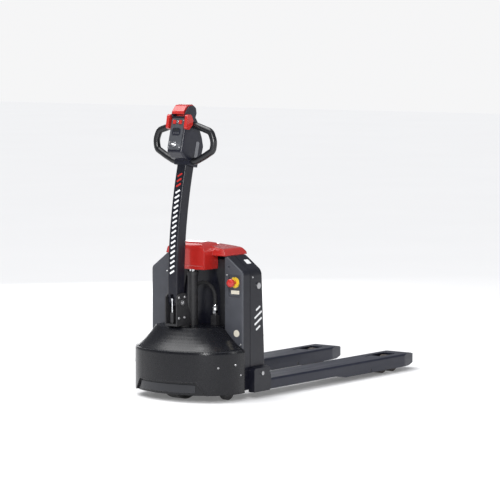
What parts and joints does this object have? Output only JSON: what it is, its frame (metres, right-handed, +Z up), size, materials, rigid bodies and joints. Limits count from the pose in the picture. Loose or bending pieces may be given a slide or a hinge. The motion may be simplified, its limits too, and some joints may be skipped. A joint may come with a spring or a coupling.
{
  "type": "electric pallet truck",
  "caption": "Walk-behind electric pallet truck with twin forks, battery column, rounded drive cover, red hood and a steerable tiller with looped grips.",
  "frame": {"origin": "on the floor, under the middle of the whole truck", "axes": "+X towards the fork tips, +Y to the left of an operator who faces the forks, +Z up"},
  "size_m": [1.5399, 0.568, 1.2555],
  "materials": {
    "frame_paint": "semi-gloss",
    "panel_grey": "satin",
    "cover_black": "satin",
    "hood_red": "gloss",
    "chrome": "polished",
    "steel": "machined",
    "cast": "painted",
    "alloy": "cast",
    "tyre": "matte",
    "polyurethane": "satin",
    "hose": "matte",
    "loop_black": "satin",
    "head_black": "satin",
    "face_grey": "satin",
    "control_red": "gloss",
    "collar_yellow": "gloss",
    "battery_case": "matte",
    "tank_plastic": "translucent"
  },
  "bodies": {
    "chassis": {"chassis_frame": "frame_paint", "drive_cover": "cover_black", "right_side_panel": "panel_grey", "left_side_panel": "panel_grey", "recess_liner": "panel_grey", "lift_cylinder": "cast", "hydraulic_pump": "cast", "hose_port": "cast", "oil_tank": "tank_plastic", "motor_controller": "alloy", "lift_hose": "hose", "estop_ring": "collar_yellow", "steering_bearing": "steel"},
    "fork_frame": {"battery_column": "frame_paint", "battery_pack": "battery_case", "battery_lock": "steel", "lift_bridge": "frame_paint", "piston_rod": "chrome", "hood": "hood_red", "left_fork": "frame_paint", "right_fork": "frame_paint", "heel_brackets": "frame_paint", "heel_pins": "steel", "entry_rollers": "polyurethane"},
    "bell_crank": {"bell_crank": "steel"},
    "left_push_rod": {"left_push_rod": "steel"},
    "left_lever": {"left_roller_lever": "frame_paint"},
    "left_bogie": {"left_bogie": "steel"},
    "left_front_roller": {"left_front_load_roller": "polyurethane"},
    "left_rear_roller": {"left_rear_load_roller": "polyurethane"},
    "left_castor": {"left_castor_fork": "steel"},
    "left_castor_wheel": {"left_castor_wheel": "polyurethane"},
    "right_push_rod": {"right_push_rod": "steel"},
    "right_lever": {"right_roller_lever": "frame_paint"},
    "right_bogie": {"right_bogie": "steel"},
    "right_front_roller": {"right_front_load_roller": "polyurethane"},
    "right_rear_roller": {"right_rear_load_roller": "polyurethane"},
    "right_castor": {"right_castor_fork": "steel"},
    "right_castor_wheel": {"right_castor_wheel": "polyurethane"},
    "drive_unit": {"steering_head": "cast", "gearbox": "alloy", "traction_motor": "cast", "tiller_bracket": "frame_paint", "tiller_pin": "steel", "gas_spring_tube": "cast"},
    "drive_wheel": {"drive_tyre": "tyre", "drive_hub": "cast"},
    "gas_rod": {"gas_spring_rod": "chrome"},
    "tiller": {"tiller_arm": "frame_paint", "handle_loops": "loop_black", "control_head": "head_black", "face_panel": "face_grey", "key_lock": "chrome"},
    "throttle": {"throttle": "control_red"},
    "belly_button": {"belly_button": "control_red"},
    "horn_button": {"horn_button": "chrome"},
    "raise_button": {"raise_button": "control_red"},
    "lower_button": {"lower_button": "control_red"},
    "key": {"ignition_key": "steel"},
    "estop": {"estop_button": "control_red"}
  },
  "joints": [
    {"name": "fork_lift", "type": "slide", "parent": "chassis", "child": "fork_frame", "axis": [0, 0, 1], "range_m": [0, 0.115]},
    {"name": "crank_turn", "type": "hinge", "parent": "fork_frame", "child": "bell_crank", "pos_m": [-0.4, 0, 0.07], "axis": [0, -1, 0], "range_deg": [0, 63.13]},
    {"name": "left_rod_push", "type": "slide", "parent": "fork_frame", "child": "left_push_rod", "axis": [1, 0, 0], "range_m": [0, 0.021]},
    {"name": "left_lever_turn", "type": "hinge", "parent": "fork_frame", "child": "left_lever", "pos_m": [0.375, 0.205, 0.032], "axis": [0, 1, 0], "range_deg": [0, 34.9]},
    {"name": "left_bogie_rock", "type": "hinge", "parent": "left_lever", "child": "left_bogie", "pos_m": [0.57494, 0.205, 0.037], "axis": [0, 1, 0], "range_deg": [-34.9, 0]},
    {"name": "left_front_roller_spin", "type": "hinge", "parent": "left_bogie", "child": "left_front_roller", "pos_m": [0.61694, 0.205, 0.037], "axis": [0, 1, 0], "continuous": true},
    {"name": "left_rear_roller_spin", "type": "hinge", "parent": "left_bogie", "child": "left_rear_roller", "pos_m": [0.53294, 0.205, 0.037], "axis": [0, 1, 0], "continuous": true},
    {"name": "left_castor_swivel", "type": "hinge", "parent": "chassis", "child": "left_castor", "pos_m": [-0.595, 0.188, 0.12], "axis": [0, 0, 1], "continuous": true},
    {"name": "left_castor_spin", "type": "hinge", "parent": "left_castor", "child": "left_castor_wheel", "pos_m": [-0.573, 0.188, 0.0375], "axis": [0, 1, 0], "continuous": true},
    {"name": "right_rod_push", "type": "slide", "parent": "fork_frame", "child": "right_push_rod", "axis": [1, 0, 0], "range_m": [0, 0.021]},
    {"name": "right_lever_turn", "type": "hinge", "parent": "fork_frame", "child": "right_lever", "pos_m": [0.375, -0.205, 0.032], "axis": [0, 1, 0], "range_deg": [0, 34.9]},
    {"name": "right_bogie_rock", "type": "hinge", "parent": "right_lever", "child": "right_bogie", "pos_m": [0.57494, -0.205, 0.037], "axis": [0, 1, 0], "range_deg": [-34.9, 0]},
    {"name": "right_front_roller_spin", "type": "hinge", "parent": "right_bogie", "child": "right_front_roller", "pos_m": [0.61694, -0.205, 0.037], "axis": [0, 1, 0], "continuous": true},
    {"name": "right_rear_roller_spin", "type": "hinge", "parent": "right_bogie", "child": "right_rear_roller", "pos_m": [0.53294, -0.205, 0.037], "axis": [0, 1, 0], "continuous": true},
    {"name": "right_castor_swivel", "type": "hinge", "parent": "chassis", "child": "right_castor", "pos_m": [-0.595, -0.188, 0.12], "axis": [0, 0, 1], "continuous": true},
    {"name": "right_castor_spin", "type": "hinge", "parent": "right_castor", "child": "right_castor_wheel", "pos_m": [-0.573, -0.188, 0.0375], "axis": [0, 1, 0], "continuous": true},
    {"name": "steering", "type": "hinge", "parent": "chassis", "child": "drive_unit", "pos_m": [-0.645, 0, 0.24], "axis": [0, 0, 1], "range_deg": [-90, 90]},
    {"name": "drive_wheel_spin", "type": "hinge", "parent": "drive_unit", "child": "drive_wheel", "pos_m": [-0.645, 0, 0.105], "axis": [0, 1, 0], "continuous": true},
    {"name": "tiller_tilt", "type": "hinge", "parent": "drive_unit", "child": "tiller", "pos_m": [-0.68, 0, 0.415], "axis": [0, -1, 0], "range_deg": [0, 80], "stiffness_Nm_per_rad": 25, "springref_deg": -22.92},
    {"name": "gas_rod_slide", "type": "slide", "parent": "drive_unit", "child": "gas_rod", "axis": [0, 0, -1], "range_m": [0, 0.0361]},
    {"name": "throttle_turn", "type": "hinge", "parent": "tiller", "child": "throttle", "pos_m": [-0.63941, 0, 1.17733], "axis": [0, 1, 0], "range_deg": [-25, 25], "stiffness_Nm_per_rad": 0.4},
    {"name": "belly_button_push", "type": "slide", "parent": "tiller", "child": "belly_button", "axis": [-0.2504, 0, -0.9681], "range_m": [0, 0.005], "stiffness_N_per_m": 900},
    {"name": "raise_button_push", "type": "slide", "parent": "tiller", "child": "raise_button", "axis": [0.9681, 0, -0.2504], "range_m": [0, 0.003], "stiffness_N_per_m": 400},
    {"name": "lower_button_push", "type": "slide", "parent": "tiller", "child": "lower_button", "axis": [0.9681, 0, -0.2504], "range_m": [0, 0.003], "stiffness_N_per_m": 400},
    {"name": "horn_button_push", "type": "slide", "parent": "tiller", "child": "horn_button", "axis": [0.9681, 0, -0.2504], "range_m": [0, 0.003], "stiffness_N_per_m": 400},
    {"name": "key_turn", "type": "hinge", "parent": "tiller", "child": "key", "pos_m": [-0.68381, 0, 1.08552], "axis": [0.9681, 0, -0.2504], "range_deg": [0, 90]},
    {"name": "estop_push", "type": "slide", "parent": "chassis", "child": "estop", "axis": [1, 0, 0], "range_m": [0, 0.006]}
  ],
  "couplings": [
    {"joint": "crank_turn", "follows": "fork_lift", "rad_per_m": 9.566},
    {"joint": "left_rod_push", "follows": "fork_lift", "ratio": 0.18174},
    {"joint": "left_lever_turn", "follows": "fork_lift", "rad_per_m": 5.2815},
    {"joint": "left_bogie_rock", "follows": "fork_lift", "rad_per_m": -5.2815},
    {"joint": "right_rod_push", "follows": "fork_lift", "ratio": 0.18174},
    {"joint": "right_lever_turn", "follows": "fork_lift", "rad_per_m": 5.2815},
    {"joint": "right_bogie_rock", "follows": "fork_lift", "rad_per_m": -5.2815},
    {"joint": "gas_rod_slide", "follows": "tiller_tilt", "m_per_rad": 0.025783}
  ]
}
